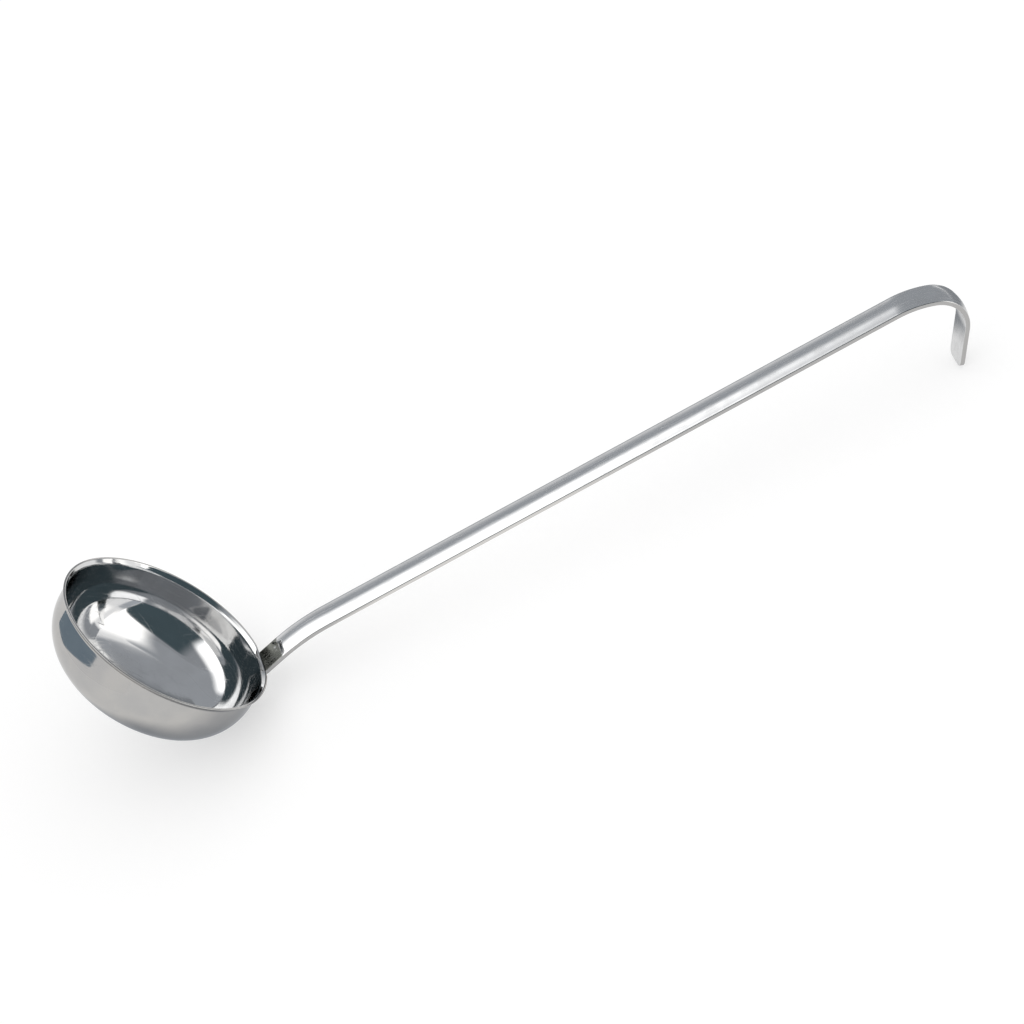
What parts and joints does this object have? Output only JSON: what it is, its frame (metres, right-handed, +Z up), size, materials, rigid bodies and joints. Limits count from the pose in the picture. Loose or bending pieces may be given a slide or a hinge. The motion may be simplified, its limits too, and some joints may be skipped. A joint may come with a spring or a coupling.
{
  "type": "sauce ladle",
  "caption": "Polished steel kitchen ladle: a round drawn bowl with a turned-out rim and a long crowned strip handle that ends in a hook.",
  "frame": {"origin": "on the floor, under the middle of the ladle's box as it lies at rest", "axes": "+X from the bowl towards the hook, +Z up; the ladle is as good as symmetric about the XZ plane"},
  "size_m": [0.4212, 0.1, 0.0898],
  "materials": {
    "bowl_steel": "polished stainless steel with faint spin lines",
    "handle_steel": "polished stainless steel with fine lengthwise scratches"
  },
  "bodies": {
    "root": {"bowl": "bowl_steel", "handle": "handle_steel"}
  },
  "joints": []
}
